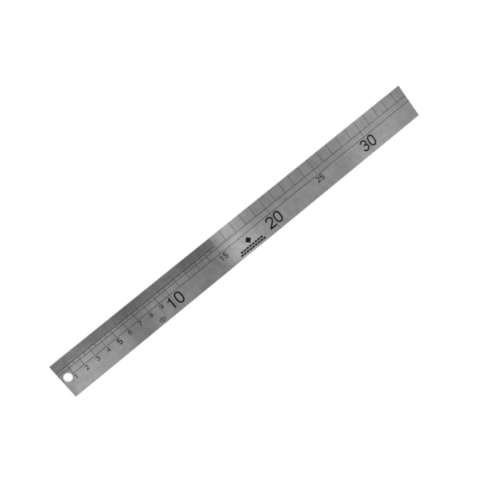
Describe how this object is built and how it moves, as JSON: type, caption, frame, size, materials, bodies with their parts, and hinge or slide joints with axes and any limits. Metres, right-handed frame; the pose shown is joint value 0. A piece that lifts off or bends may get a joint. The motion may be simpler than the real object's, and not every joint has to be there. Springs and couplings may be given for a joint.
{
  "type": "steel ruler",
  "caption": "Flat stainless steel rule with an etched, black-filled centimetre scale along one edge, a fine scale from the zero end and a hanging hole.",
  "frame": {"origin": "centre of the back face, which lies on the bench", "axes": "+X from the zero end to the far end, +Y towards the graduated edge, +Z out of the marked face"},
  "size_m": [0.35, 0.03, 0.001],
  "materials": {
    "stainless_steel": "satin, brushed lengthwise",
    "black_enamel": "matt black filling"
  },
  "bodies": {
    "root": {"blade": "stainless_steel", "millimetre_ticks": "black_enamel", "half_centimetre_ticks": "black_enamel", "centimetre_ticks": "black_enamel", "ten_centimetre_lines": "black_enamel", "scale_lines": "black_enamel", "small_numerals": "black_enamel", "medium_numerals": "black_enamel", "large_numerals": "black_enamel", "oval_sign": "black_enamel", "brick_sign": "black_enamel", "diamond_sign": "black_enamel"}
  },
  "joints": []
}
